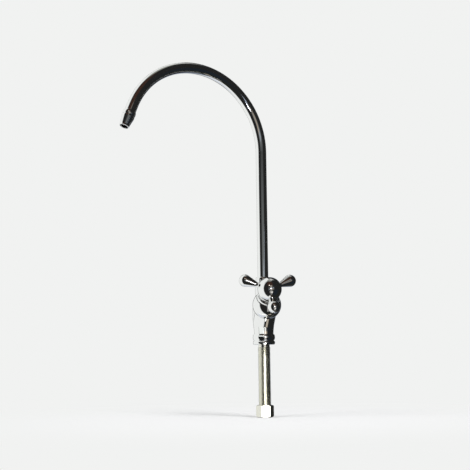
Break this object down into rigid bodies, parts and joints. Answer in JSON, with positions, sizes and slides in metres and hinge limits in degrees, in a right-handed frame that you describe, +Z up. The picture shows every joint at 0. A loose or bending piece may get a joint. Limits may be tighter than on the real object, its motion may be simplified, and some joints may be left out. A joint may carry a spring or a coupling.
{
  "type": "gooseneck drinking-water tap",
  "caption": "Small one-hole filter tap: gooseneck spout that swivels, leaning valve with a ball-hubbed three-arm handle, threaded shank with a coupling nut.",
  "frame": {"origin": "centre of the base's underside, where the shank enters the sink or worktop", "axes": "+Z up along the column and the spout's riser; the valve and handle lean towards -Y; at rest the spout points towards -X, turned 23 degrees towards -Y"},
  "size_m": [0.1561, 0.0679, 0.3089],
  "materials": {
    "chrome_plate": "bright plated",
    "satin_nickel": "satin plated",
    "brass": "turned",
    "black_rubber": "moulded",
    "white_ceramic": "lapped",
    "white_acetal": "moulded",
    "stainless": "bright"
  },
  "bodies": {
    "fixed_body": {"tap_body": "chrome_plate", "base_seal": "black_rubber", "shank": "satin_nickel", "coupling_nut": "satin_nickel", "ferrule": "brass", "seat_seal": "black_rubber", "fixed_disc": "white_ceramic", "cartridge_housing": "brass", "bonnet_seal": "black_rubber", "bonnet": "chrome_plate", "thrust_washer": "white_acetal", "swivel_bush": "white_acetal", "spout_gland": "chrome_plate"},
    "handle_set": {"handle": "chrome_plate", "handle_cap": "chrome_plate", "handle_screw": "stainless", "spindle": "brass", "spindle_clip": "stainless", "spindle_ring_lower": "black_rubber", "spindle_ring_upper": "black_rubber", "moving_disc": "white_ceramic"},
    "spout_set": {"spout_tube": "chrome_plate", "spout_nozzle": "chrome_plate", "spout_spigot": "brass", "spout_ring_lower": "black_rubber", "spout_ring_upper": "black_rubber"}
  },
  "joints": [
    {"name": "spout_swivel", "type": "hinge", "parent": "fixed_body", "child": "spout_set", "pos_m": [0, 0, 0.05], "axis": [0, 0, 1], "continuous": true},
    {"name": "handle_turn", "type": "hinge", "parent": "fixed_body", "child": "handle_set", "pos_m": [0, 0, 0.019], "axis": [0, -0.7071, 0.7071], "range_deg": [0, 90]}
  ]
}
